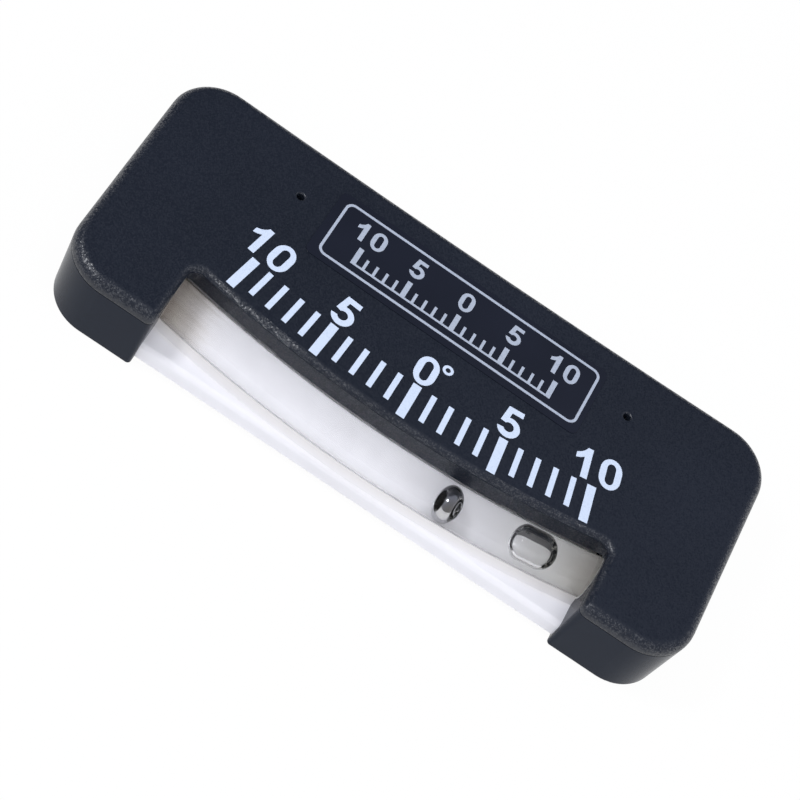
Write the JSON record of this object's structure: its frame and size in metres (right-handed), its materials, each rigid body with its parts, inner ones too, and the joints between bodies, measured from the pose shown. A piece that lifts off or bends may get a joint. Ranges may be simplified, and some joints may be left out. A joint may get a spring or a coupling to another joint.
{
  "type": "inclinometer",
  "caption": "Ball-in-tube inclinometer: dark moulded housing with two feet, a curved fluid tube on a white cradle, and a degree scale along the window.",
  "frame": {"origin": "centre of the flat back, on which it lies", "axes": "+X along the length, towards the right of the scale; +Y towards the top edge in use; +Z out of the face"},
  "size_m": [0.1142, 0.0488, 0.0143],
  "materials": {
    "satin_shell": "satin moulded ABS",
    "grained_cover": "fine spark-eroded grain on moulded ABS",
    "white_cradle": "smooth moulded white ABS",
    "clear_tube": "clear polished tube",
    "plug_nylon": "black nylon",
    "seal_rubber": "smooth nitrile rubber",
    "sleeve_silicone": "white silicone rubber",
    "clear_fluid": "clear damping fluid",
    "ball_steel": "polished bearing steel",
    "trapped_air": "air bubble",
    "screw_steel": "zinc-plated steel",
    "scale_ink": "pale printing ink",
    "label_film": "dark glossy film",
    "label_ink": "silver-grey printing ink"
  },
  "bodies": {
    "housing": {"body_shell": "satin_shell", "front_cover": "grained_cover", "tube_cradle": "white_cradle", "curved_tube": "clear_tube", "end_plug_left": "plug_nylon", "end_plug_right": "plug_nylon", "plug_seal_left": "seal_rubber", "plug_seal_right": "seal_rubber", "tube_sleeve_left": "sleeve_silicone", "tube_sleeve_right": "sleeve_silicone", "damping_fluid": "clear_fluid", "housing_screws": "screw_steel", "cradle_screws": "screw_steel", "minor_marks": "scale_ink", "major_marks": "scale_ink", "scale_numerals": "scale_ink", "label_film": "label_film", "label_frame": "label_ink", "label_numbers": "label_ink", "label_marks": "label_ink"},
    "ball": {"steel_ball": "ball_steel"},
    "bubble": {"air_bubble": "trapped_air"}
  },
  "joints": [
    {"name": "ball_roll", "type": "hinge", "parent": "housing", "child": "ball", "pos_m": [0, 0.17654, 0.00835], "axis": [0, 0, 1], "range_deg": [-16, 7.8], "deforming": ["damping_fluid", "air_bubble"]},
    {"name": "bubble_drift", "type": "hinge", "parent": "housing", "child": "bubble", "pos_m": [0, 0.17654, 0.00835], "axis": [0, 0, -1], "range_deg": [-2.9, 19.8], "deforming": ["damping_fluid", "air_bubble"]}
  ]
}
